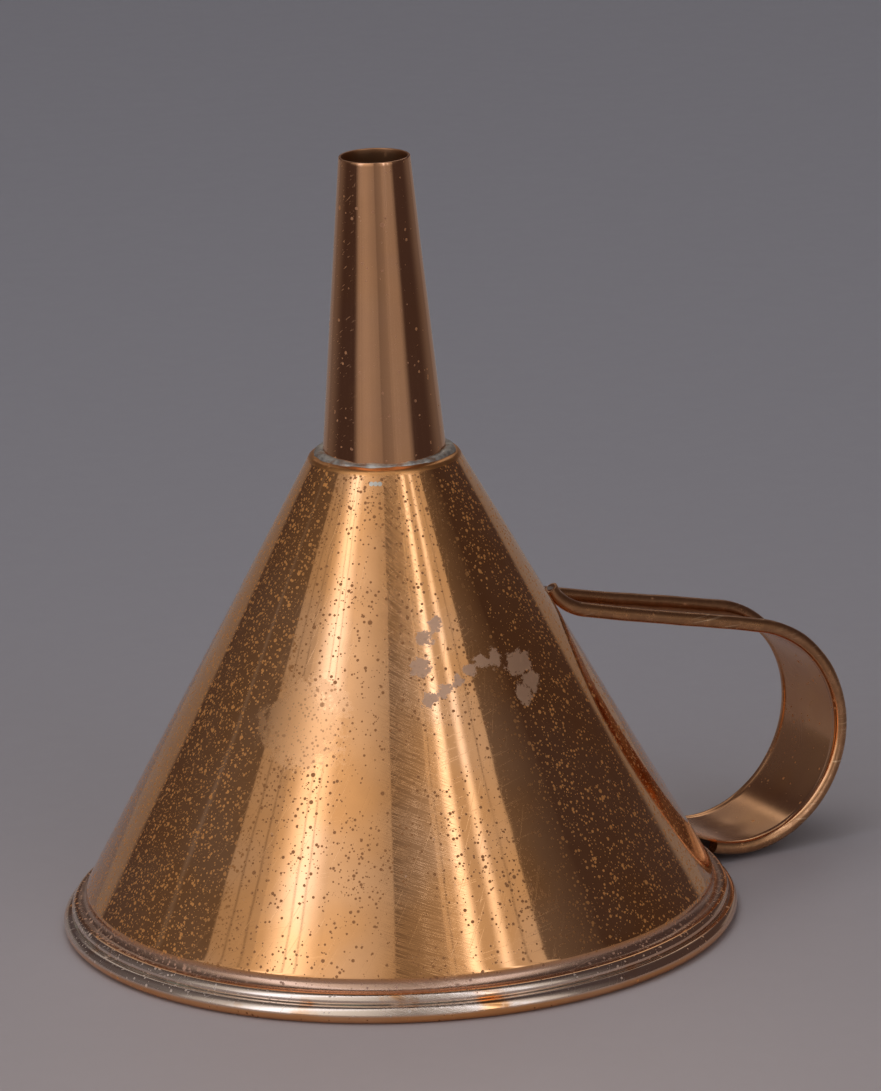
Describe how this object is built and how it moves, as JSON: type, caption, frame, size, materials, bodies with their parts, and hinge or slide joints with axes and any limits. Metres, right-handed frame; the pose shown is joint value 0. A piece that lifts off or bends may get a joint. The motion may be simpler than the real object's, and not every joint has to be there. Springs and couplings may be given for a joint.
{
  "type": "funnel",
  "caption": "Wide sheet copper funnel with a rolled rim, a long tapered spout soldered to the cone and a looped strap handle.",
  "frame": {"origin": "centre of the mouth, on the plane the funnel rests on when it stands mouth down", "axes": "+Z along the funnel's axis up to the spout tip, +X out through the handle, +Y to the left of someone looking out along +X"},
  "size_m": [0.2486, 0.2, 0.2304],
  "materials": {
    "copper_sheet": "old polished copper, tarnished brown with fine dark specks and scratches",
    "copper_strap": "old copper, handled to a brown mottled patina",
    "steel_wire": "plain drawn steel wire, hidden inside the rolled edges",
    "solder": "dull grey soft solder, lumpy"
  },
  "bodies": {
    "root": {"cone_body": "copper_sheet", "rim_wire": "steel_wire", "spout": "copper_sheet", "spout_solder": "solder", "handle_strap": "copper_strap", "handle_wire_front": "steel_wire", "handle_wire_rear": "steel_wire", "upper_handle_solder": "solder", "lower_handle_solder": "solder"}
  },
  "joints": []
}
